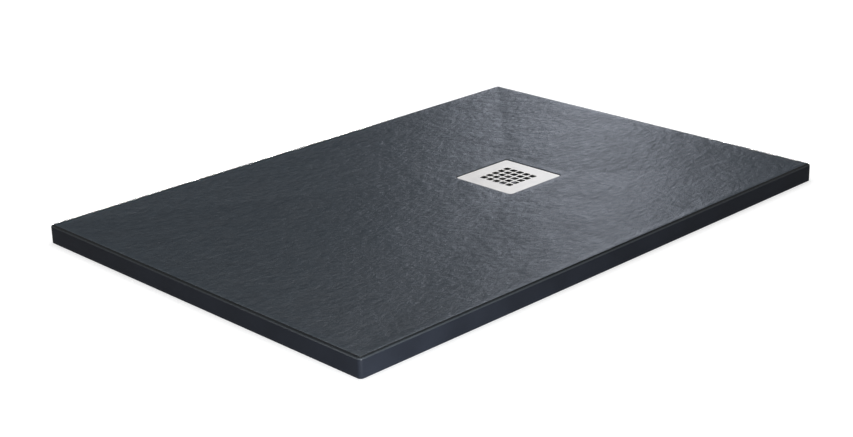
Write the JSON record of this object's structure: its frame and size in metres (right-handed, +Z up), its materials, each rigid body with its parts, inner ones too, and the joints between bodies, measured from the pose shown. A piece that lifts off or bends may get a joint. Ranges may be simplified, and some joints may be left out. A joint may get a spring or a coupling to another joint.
{
  "type": "shower tray",
  "caption": "Low rectangular slate-effect shower tray falling to an off-centre square grate, with a lift-out hair strainer and siphon over a clamped trap with a side outlet.",
  "frame": {"origin": "centre of the tray's flat underside, on the bed that it is laid on", "axes": "+X along the length towards the waste and its outlet, +Y to the back edge, +Z up out of the tray"},
  "size_m": [1, 0.7, 0.1114],
  "materials": {
    "slate_gelcoat": "satin",
    "cast_resin": "matte",
    "fibreglass": "matte",
    "grate_steel": "satin",
    "stainless_steel": "satin",
    "screw_steel": "polished",
    "black_rubber": "matte",
    "trap_plastic": "satin",
    "white_plastic": "satin",
    "dark_plastic": "satin",
    "insert_brass": "satin"
  },
  "bodies": {
    "tray": {"gelcoat_skin": "slate_gelcoat", "resin_core": "cast_resin", "fibreglass_backing": "fibreglass", "waste_flange": "stainless_steel", "flange_screws": "screw_steel", "upper_gasket": "black_rubber", "lower_gasket": "black_rubber", "trap_body": "trap_plastic", "threaded_inserts": "insert_brass", "outlet_cone_seal": "black_rubber", "outlet_slip_ring": "white_plastic", "outlet_nut": "dark_plastic"},
    "grate": {"grate_plate": "grate_steel", "grate_studs": "stainless_steel", "grate_feet": "black_rubber"},
    "strainer": {"strainer_basket": "stainless_steel", "strainer_knob": "dark_plastic"},
    "siphon": {"dip_tube": "white_plastic", "dip_tube_seal": "black_rubber", "water_cup": "white_plastic"}
  },
  "joints": [
    {"name": "grate_lift", "type": "slide", "parent": "tray", "child": "grate", "axis": [0, 0, 1], "range_m": [0, 0.24]},
    {"name": "strainer_lift", "type": "slide", "parent": "tray", "child": "strainer", "axis": [0, 0, 1], "range_m": [0, 0.18]},
    {"name": "siphon_lift", "type": "slide", "parent": "tray", "child": "siphon", "axis": [0, 0, 1], "range_m": [0, 0.12]}
  ],
  "couplings": [
    {"joint": "strainer_lift", "follows": "grate_lift", "ratio": 0.75},
    {"joint": "siphon_lift", "follows": "grate_lift", "ratio": 0.5}
  ]
}
